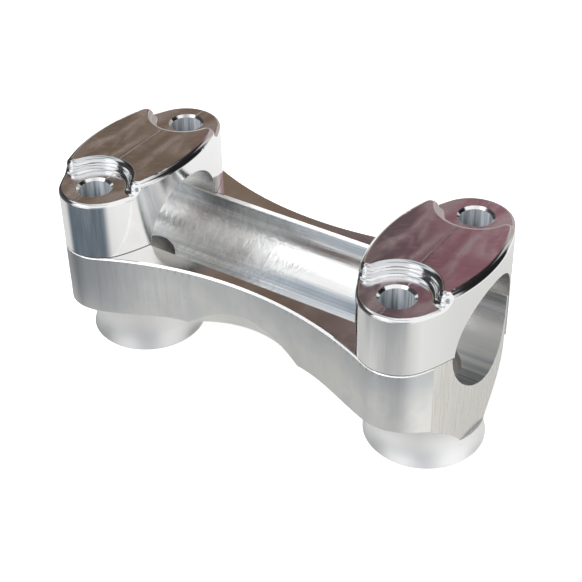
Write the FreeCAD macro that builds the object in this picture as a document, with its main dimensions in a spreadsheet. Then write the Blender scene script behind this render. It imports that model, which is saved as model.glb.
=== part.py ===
import FreeCAD, Part
import math
import os
import Sketcher

# Handlebar clamp machined from aluminium billet: one lower clamp with two round
# bosses under it, and two caps that close round the bar. Millimetres.
# X runs along the bar, Y from front to rear, Z up. The origin lies midway
# between the bosses, on the plane of their bottom faces.

V = FreeCAD.Vector
doc = FreeCAD.newDocument("handlebar_clamp")

DIMENSIONS = [
    ("cap_spacing", 88.9, "between the two cap centres, and the two bosses"),
    ("bolt_spacing", 39.0, "between the two bolt holes of a cap"),
    ("bar_diameter", 28.6, "bore for the bar"),
    ("bar_drop", 0.6, "bar axis below the joint face"),
    ("body_height", 36.4, "boss bottoms to joint face"),
    ("web_height", 16.2, "underside of the body to joint face"),
    ("waist_width", 36.4, "depth of the body midway between the caps"),
    ("cap_width", 30.1, "cap along the bar, at its widest"),
    ("end_radius", 10.4, "rounded ends of caps and body"),
    ("end_offset", 17.8, "cap centre to centre of end round"),
    ("land_height", 16.0, "joint face to bolt land"),
    ("cap_height", 19.1, "joint face to top of the pad"),
    ("wall_radius", 9.1, "pad end wall about the bolt axis"),
    ("horn_radius", 2.2, "plan corners of the pad"),
    ("foot_fillet", 1.35, "between land and pad wall"),
    ("pad_fillet", 1.6, "upper edges of the pad"),
    ("land_fillet", 0.9, "outer edges of the lands"),
    ("bolt_hole", 8.2, "clearance for the cap bolts"),
    ("bolt_chamfer", 0.65, "mouths of the bolt holes"),
    ("thread_core", 6.8, "tapped holes for the cap bolts"),
    ("thread_depth", 15.0, "depth of the tapped holes"),
    ("end_recess", 0.45, "end faces of the body inside the cap sides"),
    ("end_face_width", 39.6, "milled end faces, front to rear"),
    ("end_depth", 29.0, "joint face to foot of the milled end faces"),
    ("boss_neck", 30.0, "diameter of a boss where it is thinnest"),
    ("boss_offset", 3.0, "boss axes forward of the bar axis"),
    ("boss_cove", 15.0, "hollow round a boss, up to the underside"),
    ("boss_chamfer", 0.6, "bottom edge of a boss"),
    ("screw_head", 17.0, "counterbore in the bore's floor"),
    ("screw_seat", 24.8, "joint face to floor of the counterbore"),
    ("screw_hole", 10.5, "clearance for the mounting screw"),
    ("relief_radius", 22.0, "conical relief where it meets the waist"),
    ("relief_start", 9.1, "joint face to top of the relief"),
    ("relief_apex", 34.7, "top of the relief to the cone's point"),
    ("relief_runout", 1.2, "cone carried on below the underside"),
    ("rim_chamfer", 0.75, "rims of the bore at the joint face"),
    ("edge_chamfer", 0.5, "outer edge of the joint face"),
    ("billet_margin", 6.0, "billet outside the finished outline"),
]

sheet = doc.addObject("Spreadsheet::Sheet", "Dimensions")
sheet.Label = "Dimensions"
for row, (alias, number, note) in enumerate(DIMENSIONS, start=1):
    sheet.set("A%d" % row, alias)
    sheet.set("B%d" % row, str(number))
    sheet.set("C%d" % row, note)
    sheet.setAlias("B%d" % row, alias)
doc.recompute()


class Size:
    """A length together with the formula over the sheet that gives it."""

    def __init__(self, number, formula):
        self.number = float(number)
        self.formula = formula

    def join(self, other, sign, number):
        formula = other.formula if isinstance(other, Size) else repr(float(other))
        return Size(number, "(%s %s %s)" % (self.formula, sign, formula))

    def __add__(self, other):
        return self.join(other, "+", self.number + plain(other))

    def __sub__(self, other):
        return self.join(other, "-", self.number - plain(other))

    def __mul__(self, other):
        return self.join(other, "*", self.number * plain(other))

    def __truediv__(self, other):
        return self.join(other, "/", self.number / plain(other))

    def __neg__(self):
        return Size(-self.number, "(0 - %s)" % self.formula)


def plain(value):
    return value.number if isinstance(value, Size) else float(value)


def size(alias):
    return Size(getattr(sheet, alias), "Dimensions." + alias)


pitch = size("cap_spacing") / 2
bolt = size("bolt_spacing") / 2
bore = size("bar_diameter") / 2
drop = size("bar_drop")
joint = size("body_height")
underside = joint - size("web_height")
half_waist = size("waist_width") / 2
half_cap = size("cap_width") / 2
end_r = size("end_radius")
end_y = size("end_offset")
land = size("land_height")
pad_top = size("cap_height")
wall_r = size("wall_radius")
horn_r = size("horn_radius")
neck_r = size("boss_neck") / 2
boss_y = size("boss_offset")
cove = size("boss_cove")
margin = size("billet_margin")

# Side arc of a cap: through the half width, tangent to both end rounds.
bulge = half_cap - end_r
side_c = (end_y * end_y - bulge * bulge) / (bulge * 2)
side_r = side_c + half_cap

# Waist arc of the body: through the half waist, tangent to two end rounds.
inset = half_waist - end_y
waist_r = (pitch * pitch + inset * inset - end_r * end_r) / ((end_r - inset) * 2)
waist_y = half_waist + waist_r


def bind(obj, prop, value):
    setattr(obj, prop, value.number)
    obj.setExpression(prop, value.formula)


def plane(body, role):
    return [f for f in body.Origin.OriginFeatures if f.Role == role][0]


def sketch_on(body, name, role, height=None, along=None):
    """Sketch on an origin plane, moved off it by height and along it in X."""
    sk = body.newObject("Sketcher::SketchObject", name)
    sk.AttachmentSupport = [(plane(body, role), "")]
    sk.MapMode = "FlatFace"
    moved = V(plain(along or 0), 0, plain(height or 0))
    sk.AttachmentOffset = FreeCAD.Placement(moved, FreeCAD.Rotation())
    if height is not None:
        sk.setExpression("AttachmentOffset.Base.z", height.formula)
    if along is not None:
        sk.setExpression("AttachmentOffset.Base.x", along.formula)
    return sk


def measure(sk, kind, refs, value):
    index = sk.addConstraint(Sketcher.Constraint(kind, *refs, value.number))
    name = "%s%d" % (kind, index)
    sk.renameConstraint(index, name)
    sk.setExpression("Constraints." + name, value.formula)


def tie(sk, kind, *refs):
    sk.addConstraint(Sketcher.Constraint(kind, *refs))


def centre_at(sk, geo, x, y):
    """Centre of a circle or arc at x, y; None is zero."""
    if x is None:
        tie(sk, "PointOnObject", geo, 3, -2)
    else:
        measure(sk, "DistanceX", (-1, 1, geo, 3), x)
    if y is None:
        tie(sk, "PointOnObject", geo, 3, -1)
    else:
        measure(sk, "DistanceY", (-1, 1, geo, 3), y)


def circle(sk, x, y, radius):
    at = V(plain(x) if x is not None else 0, plain(y) if y is not None else 0, 0)
    geo = sk.addGeometry(Part.Circle(at, V(0, 0, 1), radius.number), False)
    centre_at(sk, geo, x, y)
    measure(sk, "Radius", (geo,), radius)
    return geo


def arc(sk, centre, radius, start, end):
    """Arc counter-clockwise from start to end about centre."""
    a = math.atan2(start[1] - centre[1], start[0] - centre[0])
    b = math.atan2(end[1] - centre[1], end[0] - centre[0])
    if b <= a:
        b += 2 * math.pi
    ring = Part.Circle(V(centre[0], centre[1], 0), V(0, 0, 1), radius)
    return sk.addGeometry(Part.ArcOfCircle(ring, a, b), False)


def toward(p, q, length):
    """Point at a length from p in the direction of q."""
    d = math.hypot(q[0] - p[0], q[1] - p[1])
    return (p[0] + (q[0] - p[0]) * length / d, p[1] + (q[1] - p[1]) * length / d)


def crossing(c1, r1, c2, r2, side):
    """Where two circles cross, on the left (+1) or right (-1) of c1 to c2."""
    d = math.hypot(c2[0] - c1[0], c2[1] - c1[1])
    a = (r1 * r1 - r2 * r2 + d * d) / (2 * d)
    w = math.sqrt(r1 * r1 - a * a) * side
    ux = (c2[0] - c1[0]) / d
    uy = (c2[1] - c1[1]) / d
    return (c1[0] + a * ux - w * uy, c1[1] + a * uy + w * ux)


def rectangle(sk, half_x, half_y):
    x, y = half_x.number, half_y.number
    corners = [V(-x, -y, 0), V(x, -y, 0), V(x, y, 0), V(-x, y, 0)]
    ids = [sk.addGeometry(Part.LineSegment(corners[i], corners[(i + 1) % 4]), False)
           for i in range(4)]
    for i in range(4):
        tie(sk, "Coincident", ids[i], 2, ids[(i + 1) % 4], 1)
        tie(sk, "Horizontal" if i % 2 == 0 else "Vertical", ids[i])
    tie(sk, "Symmetric", ids[0], 1, ids[1], 2, -1, 1)
    measure(sk, "DistanceX", (ids[0], 1, ids[0], 2), half_x * 2)
    measure(sk, "DistanceY", (ids[1], 1, ids[1], 2), half_y * 2)


def cap_outline(sk):
    """Plan of a cap: two end rounds joined by two long side arcs."""
    c, ye, re = side_c.number, end_y.number, end_r.number
    rs = side_r.number
    front, rear, right, left = (0, -ye), (0, ye), (-c, 0), (c, 0)
    fr, rr = toward(right, front, rs), toward(right, rear, rs)
    rl, fl = toward(left, rear, rs), toward(left, front, rs)
    a = arc(sk, front, re, fl, fr)
    b = arc(sk, right, rs, fr, rr)
    d = arc(sk, rear, re, rr, rl)
    e = arc(sk, left, rs, rl, fl)
    centre_at(sk, a, None, -end_y)
    centre_at(sk, d, None, end_y)
    measure(sk, "Radius", (a,), end_r)
    measure(sk, "Radius", (d,), end_r)
    for first, second in ((a, b), (b, d), (d, e), (e, a)):
        tie(sk, "Tangent", first, 2, second, 1)
    measure(sk, "DistanceX", (-1, 1, b, 3), -side_c)
    measure(sk, "DistanceX", (-1, 1, e, 3), side_c)


def pad_outline(sk):
    """Plan of the raised pad: the cap's sides, and end walls about the bolts."""
    c, rs, rk, ra, yb = (side_c.number, side_r.number, horn_r.number,
                         wall_r.number, bolt.number)
    kx, ky = crossing((-c, 0), rs - rk, (0, yb), ra + rk, 1)
    if ky > yb or kx < 0:
        kx, ky = crossing((-c, 0), rs - rk, (0, yb), ra + rk, -1)
    walls = {}
    corners = {}
    for sy in (-1, 1):
        left = toward((0, sy * yb), (-kx, sy * ky), ra)
        right = toward((0, sy * yb), (kx, sy * ky), ra)
        ends = (right, left) if sy < 0 else (left, right)
        walls[sy] = arc(sk, (0, sy * yb), ra, *ends)
        for sx in (-1, 1):
            k = (sx * kx, sy * ky)
            outer = toward((-sx * c, 0), k, rs)
            inner = toward(k, (0, sy * yb), rk)
            ends = (outer, inner) if sx == sy else (inner, outer)
            corners[sx, sy] = arc(sk, k, rk, *ends)
    sides = {}
    for sx in (-1, 1):
        low = toward((-sx * c, 0), (sx * kx, -ky), rs)
        high = toward((-sx * c, 0), (sx * kx, ky), rs)
        ends = (low, high) if sx > 0 else (high, low)
        sides[sx] = arc(sk, (-sx * c, 0), rs, *ends)
        centre_at(sk, sides[sx], -side_c if sx > 0 else side_c, None)
        measure(sk, "Radius", (sides[sx],), side_r)
    for sy in (-1, 1):
        centre_at(sk, walls[sy], None, bolt if sy > 0 else -bolt)
        measure(sk, "Radius", (walls[sy],), wall_r)
    for sx in (-1, 1):
        for sy in (-1, 1):
            measure(sk, "Radius", (corners[sx, sy],), horn_r)
    tie(sk, "Tangent", sides[1], 2, corners[1, 1], 1)
    tie(sk, "Tangent", corners[1, 1], 2, walls[1], 2)
    tie(sk, "Tangent", walls[1], 1, corners[-1, 1], 1)
    tie(sk, "Tangent", corners[-1, 1], 2, sides[-1], 1)
    tie(sk, "Tangent", sides[-1], 2, corners[-1, -1], 1)
    tie(sk, "Tangent", corners[-1, -1], 2, walls[-1], 2)
    tie(sk, "Tangent", walls[-1], 1, corners[1, -1], 1)
    tie(sk, "Tangent", corners[1, -1], 2, sides[1], 1)


def body_outline(sk):
    """Plan of the lower clamp: the caps' outer sides and end rounds, with a
    hollow waist between them in front and behind."""
    px, ye, re = pitch.number, end_y.number, end_r.number
    wy, wr = waist_y.number, waist_r.number
    sx0, rs = pitch.number - side_c.number, side_r.number
    rounds = {}
    for sx in (-1, 1):
        for sy in (-1, 1):
            c = (sx * px, sy * ye)
            waist = toward((0, sy * wy), c, wr)
            side = toward((sx * sx0, 0), c, rs)
            ends = (side, waist) if sx == sy else (waist, side)
            rounds[sx, sy] = arc(sk, c, re, *ends)
            centre_at(sk, rounds[sx, sy], pitch if sx > 0 else -pitch,
                      end_y if sy > 0 else -end_y)
            measure(sk, "Radius", (rounds[sx, sy],), end_r)
    sides = {}
    for sx in (-1, 1):
        low = toward((sx * sx0, 0), (sx * px, -ye), rs)
        high = toward((sx * sx0, 0), (sx * px, ye), rs)
        ends = (low, high) if sx > 0 else (high, low)
        sides[sx] = arc(sk, (sx * sx0, 0), rs, *ends)
        measure(sk, "DistanceX", (-1, 1, sides[sx], 3),
                pitch - side_c if sx > 0 else side_c - pitch)
    waists = {}
    for sy in (-1, 1):
        left = toward((0, sy * wy), (-px, sy * ye), wr)
        right = toward((0, sy * wy), (px, sy * ye), wr)
        ends = (right, left) if sy < 0 else (left, right)
        waists[sy] = arc(sk, (0, sy * wy), wr, *ends)
        measure(sk, "DistanceY", (-1, 1, waists[sy], 3), waist_y if sy > 0 else -waist_y)
    tie(sk, "Tangent", rounds[1, -1], 2, sides[1], 1)
    tie(sk, "Tangent", sides[1], 2, rounds[1, 1], 1)
    tie(sk, "Tangent", rounds[-1, 1], 2, sides[-1], 1)
    tie(sk, "Tangent", sides[-1], 2, rounds[-1, -1], 1)
    tie(sk, "Tangent", waists[-1], 1, rounds[1, -1], 1)
    tie(sk, "Tangent", rounds[1, 1], 2, waists[1], 2)
    tie(sk, "Tangent", waists[1], 1, rounds[-1, 1], 1)
    tie(sk, "Tangent", rounds[-1, -1], 2, waists[-1], 2)


def end_face_outline(sk, sx):
    """Strip milled off one end face: a band along the side arc with radial ends."""
    inner_r = side_r - size("end_recess")
    outer_r = side_r + margin
    half = size("end_face_width") / 2
    centre = (sx * (pitch.number - side_c.number), 0)
    angle = math.asin(half.number / inner_r.number)
    rays = {}
    for radius in (inner_r.number, outer_r.number):
        for sy in (-1, 1):
            rays[radius, sy] = (centre[0] + sx * radius * math.cos(angle),
                                sy * radius * math.sin(angle))
    arcs = []
    for radius in (inner_r, outer_r):
        ends = [rays[radius.number, -sx], rays[radius.number, sx]]
        arcs.append(arc(sk, centre, radius.number, *ends))
        centre_at(sk, arcs[-1], pitch - side_c if sx > 0 else side_c - pitch, None)
        measure(sk, "Radius", (arcs[-1],), radius)
    for end, sy in ((1, -sx), (2, sx)):
        line = sk.addGeometry(Part.LineSegment(V(*rays[inner_r.number, sy], 0),
                                               V(*rays[outer_r.number, sy], 0)), False)
        tie(sk, "Coincident", line, 1, arcs[0], end)
        tie(sk, "Coincident", line, 2, arcs[1], end)
        tie(sk, "PointOnObject", arcs[0], 3, line)
        measure(sk, "DistanceY", (-1, 1, line, 1), half if sy > 0 else -half)


def foot_outline(sk):
    """Half section of a boss below its neck: the hollow runs on to the bottom face."""
    neck_z = underside - cove
    far = neck_r + cove
    low = (far.number - math.sqrt(cove.number ** 2 - neck_z.number ** 2), 0)
    high = (neck_r.number, neck_z.number)
    hollow = arc(sk, (far.number, neck_z.number), cove.number, high, low)
    corners = [V(*high, 0), V(0, neck_z.number, 0), V(0, 0, 0), V(*low, 0)]
    ids = [sk.addGeometry(Part.LineSegment(corners[i], corners[i + 1]), False)
           for i in range(3)]
    tie(sk, "Coincident", hollow, 1, ids[0], 1)
    tie(sk, "Coincident", ids[0], 2, ids[1], 1)
    tie(sk, "Coincident", ids[1], 2, ids[2], 1)
    tie(sk, "Coincident", ids[2], 2, hollow, 2)
    tie(sk, "Horizontal", ids[0])
    tie(sk, "Horizontal", ids[2])
    tie(sk, "PointOnObject", ids[0], 2, -2)
    tie(sk, "Coincident", ids[1], 2, -1, 1)
    centre_at(sk, hollow, far, neck_z)
    measure(sk, "Radius", (hollow,), cove)
    tie(sk, "Horizontal", hollow, 3, hollow, 1)


def rim_outline(sk):
    """Section of the two chamfers along the rims of the bore."""
    rim = size("rim_chamfer")
    wide, narrow, low = bore + rim, bore - rim, joint - rim * 2
    corners = [V(-wide.number, joint.number, 0), V(-narrow.number, low.number, 0),
               V(narrow.number, low.number, 0), V(wide.number, joint.number, 0)]
    ids = [sk.addGeometry(Part.LineSegment(corners[i], corners[(i + 1) % 4]), False)
           for i in range(4)]
    for i in range(4):
        tie(sk, "Coincident", ids[i], 2, ids[(i + 1) % 4], 1)
    tie(sk, "Symmetric", ids[1], 1, ids[1], 2, -2)
    tie(sk, "Symmetric", ids[3], 1, ids[3], 2, -2)
    measure(sk, "DistanceX", (ids[1], 1, ids[1], 2), narrow * 2)
    measure(sk, "DistanceX", (ids[3], 2, ids[3], 1), wide * 2)
    measure(sk, "DistanceY", (-1, 1, ids[1], 1), low)
    measure(sk, "DistanceY", (-1, 1, ids[3], 1), joint)


def pad(body, name, sk, length):
    feature = body.newObject("PartDesign::Pad", name)
    feature.Profile = sk
    bind(feature, "Length", length)
    return settle(feature, 1)


def pocket(body, name, sk, length=None, upward=False, both=False):
    """Cut along the sketch normal: downward unless upward, or both ways."""
    feature = body.newObject("PartDesign::Pocket", name)
    feature.Profile = sk
    if length is None:
        feature.Type = "ThroughAll"
    else:
        bind(feature, "Length", length)
    if both:
        feature.Midplane = True
    feature.Reversed = upward
    return settle(feature, -1)


def dress(body, name, kind, base, value, test):
    """Fillet or chamfer on the edges of the base for which the test holds."""
    names = ["Edge%d" % (i + 1) for i, e in enumerate(base.Shape.Edges) if test(e)]
    if not names:
        raise RuntimeError("%s: no edge found" % name)
    feature = body.newObject("PartDesign::" + kind, name)
    feature.Base = (base, names)
    bind(feature, "Radius" if kind == "Fillet" else "Size", value)
    return settle(feature, 0)


def settle(feature, sign, base=None):
    """Recompute, and see that the feature adds or cuts what it should."""
    base = base or feature.BaseFeature
    doc.recompute()
    bad = [s for s in feature.State if s in ("Invalid", "Error")]
    if bad or feature.Shape.isNull() or not feature.Shape.isValid():
        raise RuntimeError("%s failed: %s" % (feature.Name, feature.State))
    change = feature.Shape.Volume - (base.Shape.Volume if base else 0.0)
    if change * sign < 0 or abs(change) < 1e-6:
        raise RuntimeError("%s changed the volume by %g" % (feature.Name, change))
    return feature


def level(e, z, tol=1e-4):
    box = e.BoundBox
    return abs(box.ZMin - z) < tol and abs(box.ZMax - z) < tol


def is_circle(e, radius, tol=1e-3):
    return isinstance(e.Curve, Part.Circle) and abs(e.Curve.Radius - radius) < tol


def reach(e):
    box = e.BoundBox
    return max(abs(box.XMin), abs(box.XMax)), max(abs(box.YMin), abs(box.YMax))


def build_cap(label, side):
    """A cap in its own frame, joint face at zero, put in place at the end."""
    body = doc.addObject("PartDesign::Body", label)
    body.Label = label
    half_x = half_cap + margin
    half_y = end_y + end_r + margin

    sk = sketch_on(body, label + "_billet_plan", "XY_Plane")
    rectangle(sk, half_x, half_y)
    pad(body, label + "_billet", sk, land)

    sk = sketch_on(body, label + "_pad_plan", "XY_Plane", land)
    pad_outline(sk)
    top = pad(body, label + "_pad", sk, pad_top - land)

    inside = half_cap.number + 1.0
    top = dress(body, label + "_foot", "Fillet", top, size("foot_fillet"),
                lambda e: level(e, land.number) and reach(e)[0] < inside)
    top = dress(body, label + "_pad_edge", "Fillet", top, size("pad_fillet"),
                lambda e: level(e, pad_top.number))

    sk = sketch_on(body, label + "_plan", "XY_Plane")
    rectangle(sk, half_x + margin, half_y + margin)
    cap_outline(sk)
    pocket(body, label + "_outline", sk, upward=True)

    sk = sketch_on(body, label + "_bar_section", "YZ_Plane")
    circle(sk, None, -drop, bore)
    pocket(body, label + "_bar_bore", sk, half_x * 2, both=True)

    sk = sketch_on(body, label + "_bolt_plan", "XY_Plane")
    hole_r = size("bolt_hole") / 2
    for y in (-bolt, bolt):
        circle(sk, None, y, hole_r)
    top = pocket(body, label + "_bolt_holes", sk, upward=True)
    top = dress(body, label + "_bolt_mouths", "Chamfer", top, size("bolt_chamfer"),
                lambda e: level(e, land.number) and is_circle(e, hole_r.number))
    top = dress(body, label + "_land_edge", "Fillet", top, size("land_fillet"),
                lambda e: level(e, land.number) and is_circle(e, end_r.number))

    body.Placement = FreeCAD.Placement(V(side * pitch.number, 0, joint.number),
                                       FreeCAD.Rotation())
    sign = "" if side > 0 else "0 - "
    body.setExpression("Placement.Base.x", sign + pitch.formula)
    body.setExpression("Placement.Base.z", joint.formula)
    return body


def build_lower():
    """The lower clamp: a waisted block on two round bosses, milled from billet."""
    body = doc.addObject("PartDesign::Body", "lower_clamp")
    body.Label = "lower_clamp"
    half_x = pitch + neck_r + cove + margin
    half_y = boss_y + neck_r + cove + margin

    sk = sketch_on(body, "lower_billet_plan", "XY_Plane", underside)
    rectangle(sk, half_x, half_y)
    pad(body, "lower_billet", sk, joint - underside)

    sk = sketch_on(body, "lower_neck_plan", "XY_Plane")
    for x in (-pitch, pitch):
        circle(sk, x, -boss_y, neck_r)
    top = pad(body, "lower_necks", sk, underside)
    dress(body, "lower_coves", "Fillet", top, cove,
          lambda e: level(e, underside.number) and is_circle(e, neck_r.number))
    for x, name in ((-pitch, "lower_left_foot"), (pitch, "lower_right_foot")):
        sk = sketch_on(body, name + "_profile", "XZ_Plane", boss_y, x)
        foot_outline(sk)
        foot = body.newObject("PartDesign::Revolution", name)
        foot.Profile = sk
        foot.ReferenceAxis = (sk, ["V_Axis"])
        foot.Angle = 360.0
        settle(foot, 1)

    sk = sketch_on(body, "lower_plan", "XY_Plane", joint - size("end_depth"))
    rectangle(sk, half_x + margin, half_y + margin)
    body_outline(sk)
    top = pocket(body, "lower_outline", sk, upward=True)
    dress(body, "lower_top_edges", "Chamfer", top, size("edge_chamfer"),
          lambda e: level(e, joint.number))

    # A cone widening downward, its axis upright in front of the waist.
    relief_r = size("relief_radius")
    relief_h = size("relief_apex")
    apex_z = joint - size("relief_start") + relief_h
    foot_z = underside - size("relief_runout")
    foot_r = relief_r * (apex_z - foot_z) / relief_h
    sk = sketch_on(body, "lower_relief_profile", "XZ_Plane", half_waist + relief_r)
    corners = [V(0, foot_z.number, 0), V(foot_r.number, foot_z.number, 0),
               V(0, apex_z.number, 0)]
    ids = [sk.addGeometry(Part.LineSegment(corners[i], corners[(i + 1) % 3]), False)
           for i in range(3)]
    for i in range(3):
        tie(sk, "Coincident", ids[i], 2, ids[(i + 1) % 3], 1)
    tie(sk, "Horizontal", ids[0])
    tie(sk, "PointOnObject", ids[2], 1, -2)
    tie(sk, "PointOnObject", ids[2], 2, -2)
    measure(sk, "DistanceY", (-1, 1, ids[2], 1), apex_z)
    measure(sk, "DistanceY", (-1, 1, ids[2], 2), foot_z)
    measure(sk, "DistanceX", (ids[0], 1, ids[0], 2), foot_r)
    front = body.newObject("PartDesign::Groove", "lower_relief")
    front.Profile = sk
    front.ReferenceAxis = (sk, ["V_Axis"])
    front.Angle = 360.0
    settle(front, -1)
    both = body.newObject("PartDesign::Mirrored", "lower_reliefs")
    both.Originals = [front]
    both.MirrorPlane = (plane(body, "XZ_Plane"), [""])
    body.Tip = both
    settle(both, -1, front)

    sk = sketch_on(body, "lower_bar_section", "YZ_Plane")
    circle(sk, None, joint - drop, bore)
    pocket(body, "lower_bar_bore", sk, half_x * 2, both=True)
    sk = sketch_on(body, "lower_rim_section", "YZ_Plane")
    rim_outline(sk)
    pocket(body, "lower_rims", sk, half_x * 2, both=True)

    sk = sketch_on(body, "lower_end_plan", "XY_Plane", joint - size("end_depth"))
    for sx in (-1, 1):
        end_face_outline(sk, sx)
    pocket(body, "lower_end_faces", sk, upward=True)

    sk = sketch_on(body, "lower_seat_plan", "XY_Plane", joint - size("screw_seat"))
    for x in (-pitch, pitch):
        circle(sk, x, -boss_y, size("screw_head") / 2)
    pocket(body, "lower_screw_seats", sk, upward=True)
    sk = sketch_on(body, "lower_screw_plan", "XY_Plane")
    for x in (-pitch, pitch):
        circle(sk, x, -boss_y, size("screw_hole") / 2)
    pocket(body, "lower_screw_holes", sk, upward=True)

    sk = sketch_on(body, "lower_thread_plan", "XY_Plane", joint)
    for x in (-pitch, pitch):
        for y in (-bolt, bolt):
            circle(sk, x, y, size("thread_core") / 2)
    top = pocket(body, "lower_threads", sk, size("thread_depth"))

    top = dress(body, "lower_boss_edges", "Chamfer", top, size("boss_chamfer"),
                lambda e: level(e, 0.0) and e.BoundBox.XLength > neck_r.number)
    return body


pieces = [build_lower(), build_cap("left_cap", -1), build_cap("right_cap", 1)]
doc.recompute()

for obj in doc.Objects:
    if any(s in ("Invalid", "Error") for s in obj.State):
        raise RuntimeError("%s is in state %s" % (obj.Name, obj.State))
for piece in pieces:
    if piece.Shape.isNull() or not piece.Shape.isValid() or len(piece.Shape.Solids) != 1:
        raise RuntimeError("%s has no valid shape" % piece.Label)

os.makedirs("parts", exist_ok=True)
for piece in pieces:
    piece.Shape.exportStep("parts/%s.step" % piece.Label)
    box = piece.Shape.BoundBox
    print(piece.Label, "volume %.0f" % piece.Shape.Volume,
          "x %.2f %.2f y %.2f %.2f z %.2f %.2f"
          % (box.XMin, box.XMax, box.YMin, box.YMax, box.ZMin, box.ZMax))
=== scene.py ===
import math

import bpy
from mathutils import Matrix, Vector

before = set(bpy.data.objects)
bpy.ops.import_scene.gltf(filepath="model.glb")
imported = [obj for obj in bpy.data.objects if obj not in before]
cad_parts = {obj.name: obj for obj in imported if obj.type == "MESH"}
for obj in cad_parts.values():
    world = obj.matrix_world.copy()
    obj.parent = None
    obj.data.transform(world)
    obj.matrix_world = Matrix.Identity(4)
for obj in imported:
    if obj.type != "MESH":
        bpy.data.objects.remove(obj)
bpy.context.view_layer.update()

# Main sizes of the clamp, in metres.
CAP_X = 0.04445     # middle of a cap and of a boss
BOLT_Y = 0.0195     # bolt holes, in front of the bar and behind it
HOLE_R = 0.0041
BAR_Z = 0.0358      # bore for the bar
BAR_R = 0.0143
JOINT_Z = 0.0364    # joint face between the body and the caps
LAND_Z = 0.0524     # bolt lands of the caps
PAD_Z = 0.0555      # tops of the caps
WALL_MID_Z = 0.0540  # half way up the end wall of a pad
BOSS_Y = -0.003     # bosses: thinnest at the neck, with a hollow up to the body
NECK_R = 0.0150
NECK_Z = 0.0052
COVE_R = 0.0150
END_X = 0.01271     # milled end faces: middle and radius of their arcs, half the width
END_R = 0.04635
END_Y = 0.0200
TAPPED_Z = 0.0207   # just under the tapped holes' floors
STEP_X = 0.0501     # small steps where the end faces run out in the bosses

LEVEL = (0.985, 0.999)   # a normal's Z over which a face counts as level

# Sizes in the surface patterns, in metres.
CUTTER_X, CUTTER_Y = 0.012, 0.034   # middle of a milling pass, from the pad's middle
CREASE = 0.0010                     # half the width of the line between two passes
CREASE_SWING = 0.0030
CAP_BUMP = 0.000010
BODY_BUMP = 0.000012

# Change along the bar from a chattered to a smoothly cut bore.
CHATTER_ENDS = (-0.013, 0.005)


class Graph:
    """Short ways to add nodes to a node tree."""

    def __init__(self, tree):
        self.tree = tree
        tree.nodes.clear()

    def feed(self, socket, value):
        if isinstance(value, bpy.types.NodeSocket):
            self.tree.links.new(value, socket)
        else:
            socket.default_value = value

    def add(self, kind, inputs=None, **settings):
        node = self.tree.nodes.new(kind)
        for name, value in settings.items():
            setattr(node, name, value)
        for key, value in (inputs or {}).items():
            self.feed(node.inputs[key], value)
        return node

    def finish(self, kind, inputs, output):
        """Shader of a kind, joined to the tree's output node."""
        shader = self.add(kind, inputs)
        self.tree.links.new(shader.outputs[0], self.add(output).inputs[0])

    # Numbers.

    def math(self, operation, *values):
        return self.add("ShaderNodeMath", dict(enumerate(values)), operation=operation).outputs[0]

    def chain(self, operation, values):
        out = values[0]
        for value in values[1:]:
            out = self.math(operation, out, value)
        return out

    def plus(self, *values):
        return self.chain("ADD", values)

    def times(self, *values):
        return self.chain("MULTIPLY", values)

    def minus(self, a, b):
        return self.math("SUBTRACT", a, b)

    def absolute(self, value):
        return self.math("ABSOLUTE", value)

    def angle(self, a, b):
        return self.math("ARCTAN2", a, b)

    def length(self, a, b):
        return self.math("SQRT", self.plus(self.times(a, a), self.times(b, b)))

    def flip(self, value):
        return self.minus(1.0, value)

    def step(self, value, low, high, start=0.0, end=1.0):
        """Smooth change from start to end while value goes from low to high."""
        node = self.add("ShaderNodeMapRange", {0: value, 1: low, 2: high, 3: start, 4: end},
                        interpolation_type="SMOOTHSTEP")
        return node.outputs[0]

    def below(self, value, low, high):
        """1 under low, 0 above high."""
        return self.flip(self.step(value, low, high))

    def fade(self, mask, start, end):
        """Start where the mask is 0, end where it is 1."""
        return self.step(mask, 0.0, 1.0, start, end)

    def spread(self, noise, start, end):
        """A noise, most of which lies in the middle, spread from start to end."""
        return self.step(noise, 0.3, 0.7, start, end)

    # Layers: each coat is a pair of its cover and what it brings.

    def layer(self, ground, *coats):
        """Number of a ground under coats."""
        for cover, value in coats:
            ground = self.add("ShaderNodeMix", {0: cover, 2: ground, 3: value}).outputs[0]
        return ground

    def paint(self, ground, *coats):
        """Colour of a ground under coats."""
        for cover, colour in coats:
            node = self.add("ShaderNodeMix", {0: cover}, data_type="RGBA")
            self.feed(node.inputs[6], ground)
            self.feed(node.inputs[7], colour)
            ground = node.outputs[2]
        return ground

    # Places and patterns.

    def vector(self, x, y, z):
        return self.add("ShaderNodeCombineXYZ", {0: x, 1: y, 2: z}).outputs[0]

    def split(self, vector):
        return self.add("ShaderNodeSeparateXYZ", {0: vector}).outputs

    def place(self):
        return self.add("ShaderNodeTexCoord").outputs["Object"]

    def rise(self):
        """Z of the surface's normal: 1 on a level face that looks up."""
        return self.split(self.add("ShaderNodeNewGeometry").outputs["Normal"])[2]

    def noise(self, vector, scale, detail=2.0, roughness=0.5, distortion=0.0):
        node = self.add("ShaderNodeTexNoise", {"Vector": vector, "Scale": scale,
                                               "Detail": detail, "Roughness": roughness,
                                               "Distortion": distortion})
        return node.outputs[0]

    def bump(self, height, depth):
        return self.add("ShaderNodeBump", {"Height": height, "Distance": depth,
                                           "Strength": 1.0}).outputs[0]


def grey(value, blue=0.0):
    """Grey of a brightness, shifted a little from red to blue."""
    return (value * (1 - blue), value, value * (1 + blue), 1.0)


def new_material(name):
    material = bpy.data.materials.new(name)
    material.use_nodes = True
    return material, Graph(material.node_tree)


def finish_metal(g, colour, roughness, metallic, normal):
    g.finish("ShaderNodeBsdfPrincipled", {"Base Color": colour, "Roughness": roughness,
                                          "Normal": normal, "Metallic": metallic},
             "ShaderNodeOutputMaterial")


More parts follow.
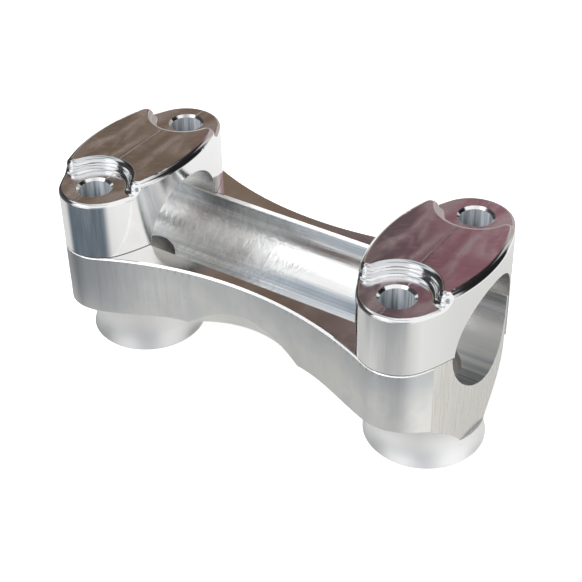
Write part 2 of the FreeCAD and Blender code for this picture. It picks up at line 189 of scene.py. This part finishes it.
def on_bore(g, y, z):
    """1 on the bore's wall."""
    return g.below(g.length(y, g.minus(z, BAR_Z)), BAR_R + 0.00005, BAR_R + 0.0002)


def in_hole(g, bolt_d):
    """1 on a bolt hole's wall."""
    return g.below(bolt_d, HOLE_R + 0.00003, HOLE_R + 0.0001)


def cap_material():
    """Caps: milled pads, turned lands, polished sides."""
    material, g = new_material("polished_cap")
    x, y, z = g.split(g.place())
    rise = g.rise()
    cap_x = g.minus(x, g.times(g.math("SIGN", x), CAP_X))
    bolt_y = g.minus(g.absolute(y), BOLT_Y)
    bolt_d = g.length(cap_x, bolt_y)

    # Where each finish lies, and where reflections are painted.
    level = g.step(rise, *LEVEL)
    pad = g.times(level, g.step(z, PAD_Z - 0.0012, PAD_Z - 0.0004))
    land = g.times(level, g.below(z, PAD_Z - 0.0025, PAD_Z - 0.0015))
    bore = on_bore(g, y, z)
    hole = g.times(in_hole(g, bolt_d), g.below(g.absolute(rise), 0.3, 0.5))
    seam = g.times(g.below(z, JOINT_Z + 0.00012, JOINT_Z + 0.00024), g.flip(bore))
    end_wall = g.times(g.flip(level), g.step(z, LAND_Z + 0.00015, LAND_Z + 0.00035),
                       g.step(bolt_d, 0.0050, 0.0056), g.below(bolt_d, 0.0108, 0.0116))
    # Painted reflection: two grey bands across the end walls of the front pads, with a paler line
    # left between them.
    painted_reflection_bands = g.times(end_wall, g.step(g.absolute(g.minus(z, WALL_MID_Z)), 0.0003, 0.0009),
                    g.below(y, -0.004, 0.004))

    # Pad: arcs of two milling passes that meet in a crease along its middle.
    side = g.step(cap_x, -0.0002, 0.0002, -1.0, 1.0)
    pass_x = g.plus(cap_x, g.times(side, CUTTER_X))
    pass_y = g.plus(y, g.times(side, -CUTTER_Y))
    sweep = g.length(pass_x, pass_y)
    turn = g.angle(pass_y, pass_x)
    arcs = g.noise(g.vector(sweep, g.times(turn, 0.004), 0.0),
                   scale=2600.0, detail=3.0, roughness=0.6)
    streaks = g.noise(g.vector(sweep, g.times(turn, 0.008), side),
                      scale=900.0, detail=3.0, roughness=0.6, distortion=0.3)
    clouds = g.noise(g.vector(cap_x, g.times(y, 0.45), side), scale=175.0, distortion=0.5)
    wander = g.noise(g.vector(0.0, y, side), scale=420.0, detail=3.0, roughness=0.6)
    off_middle = g.plus(cap_x, g.times(g.minus(wander, 0.5), CREASE_SWING))
    crease = g.times(pad, g.below(g.absolute(off_middle), 0.0, CREASE))
    # Land: rings about the bolt hole. Hole: upright streaks.
    rings = g.noise(g.vector(bolt_d, 0.0, 0.0), scale=3200.0, roughness=0.6)
    drill = g.noise(g.vector(g.times(g.angle(bolt_y, cap_x), HOLE_R), 0.0, g.times(z, 0.04)),
                    scale=700.0, detail=3.0, roughness=0.7)
    # Sides: fine upright strokes. Bore: lines along the bar with a short ripple.
    strokes = g.noise(g.vector(g.times(g.angle(y, cap_x), 0.02), g.times(z, 0.03), 0.0),
                      scale=2400.0, detail=3.0, roughness=0.6)
    lines = g.noise(g.vector(g.times(x, 0.05), y, z), scale=2600.0, detail=3.0, roughness=0.6)
    ripple = g.noise(g.vector(x, g.times(y, 0.5), g.times(z, 0.5)),
                     scale=1000.0, distortion=0.8)

    milled = g.paint((0.68, 0.68, 0.70, 1),
                     (g.step(clouds, 0.32, 0.68), (0.97, 0.95, 0.97, 1)),
                     (g.times(g.step(streaks, 0.50, 0.72), 0.5), grey(1.0)),
                     (g.times(g.step(arcs, 0.52, 0.70), 0.3), (0.60, 0.58, 0.58, 1)),
                     (g.times(crease, 0.35), (0.50, 0.48, 0.44, 1)))
    # Hole walls: real drill streaks on a dark blue-grey ground, which is painted shade and
    # painted reflection inside the holes.
    drill_streaks_and_hole_shade = g.paint(grey(0.24, 0.10), (g.step(drill, 0.36, 0.64), grey(0.66, 0.06)))
    base = g.paint(grey(0.92),
                   (level, milled),
                   (bore, (0.92, 0.91, 0.88, 1)),
                   (hole, drill_streaks_and_hole_shade),
                   # Painted reflection bands on the front pad ends.
                   (g.times(painted_reflection_bands, 0.6), grey(0.55, 0.05)),
                   (seam, grey(0.16)))

    brushed = g.plus(g.step(clouds, 0.40, 0.66, 0.11, 0.25), g.times(g.minus(arcs, 0.5), 0.16))
    rough = g.layer(g.spread(strokes, 0.09, 0.14),
                    (level, brushed),
                    (bore, g.spread(lines, 0.20, 0.34)),
                    (hole, g.spread(strokes, 0.42, 0.55)))

    height = g.plus(g.times(g.flip(level), g.flip(bore), strokes, 0.05),
                    g.times(pad, g.plus(g.times(arcs, 1.4), g.times(streaks, 1.6))),
                    g.times(pad, clouds, 3.0),
                    g.times(land, g.plus(g.times(rings, 0.4), g.times(clouds, 4.0))),
                    g.times(crease, -0.8),
                    g.times(bore, g.plus(lines, g.times(ripple, 1.6))))
    finish_metal(g, base, rough, g.flip(hole), g.bump(height, CAP_BUMP))
    return material


def body_material():
    """Body: satin walls, milled end faces, chattered bore, turned bosses."""
    material, g = new_material("machined_body")
    place = g.place()
    x, y, z = g.split(place)
    rise = g.rise()
    far_x = g.absolute(x)
    cap_x = g.minus(far_x, CAP_X)
    bolt_d = g.length(cap_x, g.minus(g.absolute(y), BOLT_Y))
    boss_d = g.length(cap_x, g.minus(y, BOSS_Y))
    cove_d = g.minus(g.length(g.minus(boss_d, NECK_R + COVE_R), g.minus(z, NECK_Z)), COVE_R)
    end_d = g.minus(g.length(g.minus(far_x, END_X), y), END_R)

    # Where each finish lies, and where shade is painted.
    bore = on_bore(g, y, z)
    ledge = g.times(g.step(rise, *LEVEL), g.step(z, JOINT_Z - 0.0004, JOINT_Z - 0.0001))
    tapped = g.times(in_hole(g, bolt_d), g.step(z, TAPPED_Z - 0.0001, TAPPED_Z + 0.0001),
                     g.below(z, JOINT_Z - 0.0002, JOINT_Z - 0.0001))
    end = g.times(g.below(g.absolute(end_d), 0.00008, 0.00014),
                  g.below(g.absolute(rise), 0.02, 0.05),
                  g.below(g.absolute(y), END_Y - 0.0001, END_Y + 0.0001), g.flip(bore))
    boss = g.times(g.below(g.absolute(cove_d), 0.00010, 0.00016), g.flip(end))
    # Painted shade: the left boss is painted darker than the right one.
    painted_shade_left_boss = g.times(boss, g.below(x, -0.030, 0.030))
    bevel = g.times(g.step(rise, 0.35, 0.50), g.below(rise, 0.93, 0.97),
                    g.step(z, JOINT_Z - 0.0012, JOINT_Z - 0.0010), g.flip(bore))
    run_out = g.times(g.step(rise, 0.90, 0.97), g.step(z, 0.0060, 0.0066),
                      g.below(z, 0.0080, 0.0084),
                      g.step(far_x, STEP_X - 0.0001, STEP_X + 0.0001))
    seam = g.times(g.step(z, JOINT_Z - 0.00022, JOINT_Z - 0.00010), g.flip(ledge),
                   g.step(far_x, 0.0290, 0.0296), g.flip(bore))
    walls = g.times(g.flip(bore), g.flip(end), g.flip(boss), g.flip(ledge))
    shade = g.times(g.step(z, JOINT_Z - 0.0110, JOINT_Z - 0.0010),
                    g.step(far_x, 0.030, 0.050, 0.5, 1.0))
    # Painted shade on the walls under the left cap, darker toward its end and higher up.
    painted_shade_under_left_cap = g.times(g.below(x, -0.046, -0.026), g.step(z, 0.010, 0.030))

    # Bore: ball-cutter chatter with short ripples across it, and lines along the bar
    # that grow darker toward both of its upper edges and along its floor.
    turn = g.angle(y, g.minus(BAR_Z, z))
    run = g.noise(g.vector(g.times(x, 0.05), y, z), scale=1500.0, detail=3.0, roughness=0.6)
    ripple = g.noise(g.vector(x, g.times(y, 0.60), g.times(z, 0.60)),
                     scale=620.0, detail=1.5, distortion=1.0)
    soft = g.noise(g.vector(g.times(x, 0.4), y, z), scale=160.0)
    tracks = g.noise(g.vector(g.times(x, 0.010), g.times(turn, BAR_R), 0.0),
                     scale=620.0, detail=3.0, roughness=0.6)
    edges = g.step(g.absolute(turn), 1.02, 1.34)
    bottom = g.below(g.absolute(turn), 0.30, 0.62)
    dark_lines = g.times(g.plus(g.times(edges, 0.60), g.times(bottom, 0.70)),
                         g.step(tracks, 0.40, 0.56, 0.05, 1.0))
    chatter = g.layer(g.step(ripple, 0.40, 0.58), (g.step(x, *CHATTER_ENDS), 0.80))
    chatter_height = g.times(g.step(x, *CHATTER_ENDS, 7.0, 0.5),
                             g.step(x, -0.050, -0.034, 0.5, 1.0))
    smooth = g.times(g.step(x, -0.016, -0.004), g.below(x, 0.028, 0.034))
    # Walls: upright strokes, soft clouds, and cutter ticks in places along the top edge.
    upright = g.noise(g.vector(x, y, g.times(z, 0.05)), scale=1300.0, roughness=0.55)
    blotch = g.noise(g.vector(x, y, g.times(z, 0.8)), scale=120.0, detail=3.0, roughness=0.6)
    ticks = g.math("SINE", g.times(g.plus(far_x, g.times(y, 0.6)), 3600.0))
    patchy = g.step(g.noise(place, scale=85.0), 0.44, 0.60)
    rim = g.times(g.step(z, JOINT_Z - 0.0022, JOINT_Z - 0.0010), patchy, g.flip(bore))
    # End faces: finer upright lines. Bosses: turning rings.
    lines = g.noise(g.vector(g.times(x, 0.1), y, g.times(z, 0.03)), scale=3300.0, roughness=0.7)
    turned = g.noise(g.vector(0.0, 0.0, z), scale=3600.0, roughness=0.6)

    end_colour = g.paint((0.76, 0.745, 0.70, 1),
                         (g.step(lines, 0.35, 0.65), (0.86, 0.845, 0.81, 1)))
    ledge_colour = g.paint(grey(0.86, -0.01), (g.spread(blotch, 0.0, 1.0), grey(0.95, -0.01)))
    bore_colour = g.paint(grey(0.86, 0.005), (chatter, grey(0.98)))
    base = g.paint((0.86, 0.86, 0.85, 1),
                   (g.step(blotch, 0.34, 0.66), (0.97, 0.955, 0.92, 1)),
                   (g.times(shade, 0.9), grey(0.66, 0.03)),
                   # Painted shade under the left cap.
                   (g.times(painted_shade_under_left_cap, 0.85), grey(0.40, 0.05)),
                   (g.times(rim, g.step(ticks, 0.3, 0.9), 0.45), grey(0.42)),
                   # Bosses: painted shade, darker up toward the body's underside.
                   (boss, g.paint(grey(0.99), (g.step(z, 0.006, 0.017), grey(0.70)))),
                   # Painted shade on the left boss.
                   (painted_shade_left_boss, grey(0.82)),
                   (bevel, grey(0.99)),
                   (run_out, grey(0.66)),
                   (end, end_colour),
                   (ledge, ledge_colour),
                   (bore, bore_colour),
                   (g.times(bore, dark_lines, 0.80), (0.42, 0.48, 0.54, 1)),
                   # Painted shade: the tapped holes' walls are dark blue-grey.
                   (tapped, grey(0.44, 0.08)),
                   (seam, grey(0.20)))

    rough = g.layer(g.spread(upright, 0.32, 0.39),
                    (end, g.spread(lines, 0.24, 0.36)),
                    (boss, g.spread(turned, 0.38, 0.46)),
                    (ledge, g.spread(blotch, 0.12, 0.20)),
                    (bore, g.plus(g.step(soft, 0.35, 0.65, 0.12, 0.20),
                                  g.fade(smooth, 0.13, 0.02))),
                    (tapped, 0.5),
                    (run_out, 0.5),
                    (bevel, 0.12))

    height = g.plus(g.times(walls, upright, 0.13),
                    g.times(walls, rim, g.flip(bevel), ticks, 1.5),
                    g.times(end, lines, 0.8),
                    g.times(boss, turned, 0.4),
                    g.times(bore, g.plus(g.times(run, 1.5), g.times(ripple, chatter_height))))
    metallic = g.times(g.flip(tapped), g.fade(boss, 1.0, 0.90), g.fade(run_out, 1.0, 0.3),
                       g.fade(bevel, 1.0, 0.4))
    finish_metal(g, base, rough, metallic, g.bump(height, BODY_BUMP))
    return material


def dress(node, material):
    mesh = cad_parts[node].data
    mesh.materials.clear()
    mesh.materials.append(material)


cap_finish = cap_material()
dress("left_cap", cap_finish)
dress("right_cap", cap_finish)
dress("lower_clamp", body_material())


def make_floor(half, glow):
    """Pale table top, square, half its width to each side."""
    mesh = bpy.data.meshes.new("floor")
    mesh.from_pydata([(-half, -half, 0), (half, -half, 0), (half, half, 0), (-half, half, 0)],
                     [], [(0, 1, 2, 3)])
    floor = bpy.data.objects.new("floor", mesh)
    bpy.context.scene.collection.objects.link(floor)
    material, g = new_material("floor_white")
    tone = g.paint(grey(0.93), (g.noise(g.place(), scale=3.0), grey(0.95)))
    g.finish("ShaderNodeBsdfPrincipled", {"Base Color": tone, "Roughness": 0.9,
                                          "Emission Color": grey(1.0),
                                          "Emission Strength": glow},
             "ShaderNodeOutputMaterial")
    mesh.materials.append(material)
    floor.visible_glossy = False


# Brightness of the table by azimuth, in degrees from the front, positive to the right.
TABLE = [(-180, 0.66), (-85, 0.56), (-45, 0.69), (0, 0.49), (30, 0.54), (90, 0.82),
         (120, 0.72), (180, 0.66)]
TABLE_WARMTH = 0.98
TABLE_ENDS = (-38.0, -28.0)   # elevations over which the table gives way to the room
ROOM = grey(0.97)

# Soft boxes and screens round the table: azimuth and elevation of the middle, half
# the width and height, the softness of the upright and of the level edges, all in
# degrees, and the colour. A later one covers those before it.
SCREENS = [
    ((-21, 37, 19, 20, 3, 8), (1.40, 1.40, 1.42)),
    ((-33, -6, 14, 15, 7, 6), (0.62, 0.62, 0.60)),
    ((32, -12, 20, 18, 10, 6), (0.36, 0.38, 0.42)),
    ((-100, 68, 36, 10, 14, 5), (0.36, 0.41, 0.46)),
    ((22, 66, 48, 6, 16, 4), (0.27, 0.28, 0.31)),
    ((-84, -8, 42, 22, 5, 4), (0.15, 0.155, 0.16)),
    ((-85, 22, 44, 25, 3, 6), (0.055, 0.056, 0.060)),
    ((-112, 40, 16, 8, 6, 4), (0.018, 0.018, 0.020)),
    ((-172, 8, 30, 22, 6, 6), (0.44, 0.39, 0.37)),
    ((-172, 44, 24, 9, 6, 5), (0.030, 0.027, 0.027)),
    ((-140, 30, 12, 14, 6, 5), (0.205, 0.150, 0.112)),
    ((-146, 41, 10, 5, 4, 4), (0.115, 0.078, 0.060)),
    ((-152, 33, 4, 8, 2, 4), (0.125, 0.098, 0.105)),
    ((-162, 35.6, 9.5, 4.8, 2.0, 1.5), (0.300, 0.135, 0.160)),
    ((132, 14, 23, 36, 4, 5), (0.012, 0.012, 0.013)),
    ((160, 45, 22, 14, 6, 6), (0.014, 0.014, 0.015)),
    ((-10, -33.4, 60, 3.9, 12, 1.9), (0.105, 0.135, 0.165)),
]


def make_world():
    """Surroundings of a product table: light all round, some darker screens."""
    world = bpy.data.worlds.new("studio")
    bpy.context.scene.world = world
    world.use_nodes = True
    g = Graph(world.node_tree)
    toward = g.add("ShaderNodeTexCoord").outputs["Generated"]
    unit = g.add("ShaderNodeVectorMath", {0: toward}, operation="NORMALIZE").outputs[0]
    x, y, z = g.split(unit)
    lift = g.math("DEGREES", g.math("ARCSINE", z))
    around = g.math("DEGREES", g.angle(x, g.times(y, -1.0)))

    part_round = g.add("ShaderNodeMapRange", {0: around, 1: -180.0, 2: 180.0}).outputs[0]
    ramp = g.add("ShaderNodeValToRGB", {0: part_round})
    stops = ramp.color_ramp.elements
    while len(stops) < len(TABLE):
        stops.new(0.5)
    for stop, (az, tone) in zip(stops, TABLE):
        stop.position = (az + 180) / 360
        stop.color = (tone, tone, tone * TABLE_WARMTH, 1.0)
    colour = g.paint(ramp.outputs[0], (g.step(lift, *TABLE_ENDS), ROOM))
    for (az, el, wide, high, soft_x, soft_y), tone in SCREENS:
        off_x = g.absolute(g.math("WRAP", g.minus(around, float(az)), 180.0, -180.0))
        off_y = g.absolute(g.minus(lift, float(el)))
        inside = g.times(g.step(off_x, float(wide - soft_x), float(wide + soft_x), 1.0, 0.0),
                         g.step(off_y, float(high - soft_y), float(high + soft_y), 1.0, 0.0))
        colour = g.paint(colour, (inside, tone + (1.0,)))
    g.finish("ShaderNodeBackground", {"Color": colour, "Strength": 1.0},
             "ShaderNodeOutputWorld")


def make_light(name, place, aim, size, power):
    data = bpy.data.lights.new(name, "AREA")
    data.energy = power
    data.size = size
    light = bpy.data.objects.new(name, data)
    light.location = place
    light.rotation_euler = (Vector(aim) - Vector(place)).to_track_quat("-Z", "Y").to_euler()
    light.visible_glossy = False
    bpy.context.scene.collection.objects.link(light)


# The photograph's camera, found from the clamp's own edges: its turn in degrees, a
# point on its line of sight and its distance from there, in metres, and the focal
# length and width of the photograph in pixels.
CAMERA_AZ, CAMERA_EL, CAMERA_ROLL = 34.08, 36.48, 1.34
CAMERA_AIM = (-0.36552, 0.54359, -0.49641 + JOINT_Z)
CAMERA_RANGE = 1.1742
FOCAL_PIXELS = 1367.0
PHOTO_PIXELS = 582.0
SENSOR = 36.0


def make_camera():
    az, el, roll = (math.radians(turn) for turn in (CAMERA_AZ, CAMERA_EL, CAMERA_ROLL))
    back = Vector((math.sin(az) * math.cos(el), -math.cos(az) * math.cos(el), math.sin(el)))
    right = Vector((math.cos(az), math.sin(az), 0))
    down = (-back).cross(right)
    x_axis = right * math.cos(roll) + down * math.sin(roll)
    y_axis = right * math.sin(roll) - down * math.cos(roll)
    data = bpy.data.cameras.new("camera")
    data.sensor_width = SENSOR
    data.lens = FOCAL_PIXELS / PHOTO_PIXELS * SENSOR
    data.clip_start = 0.01
    data.clip_end = 20.0
    camera = bpy.data.objects.new("camera", data)
    place = Vector(CAMERA_AIM) + back * CAMERA_RANGE
    turn = Matrix((x_axis, y_axis, back)).transposed().to_4x4()
    camera.matrix_world = Matrix.Translation(place) @ turn
    bpy.context.scene.collection.objects.link(camera)
    bpy.context.scene.camera = camera


make_floor(half=3.0, glow=0.62)
make_world()
make_light("overhead", place=(-0.25, -0.45, 0.75), aim=(0, 0, 0.03), size=0.5, power=6.0)
make_camera()
bpy.context.scene.view_settings.view_transform = "Standard"
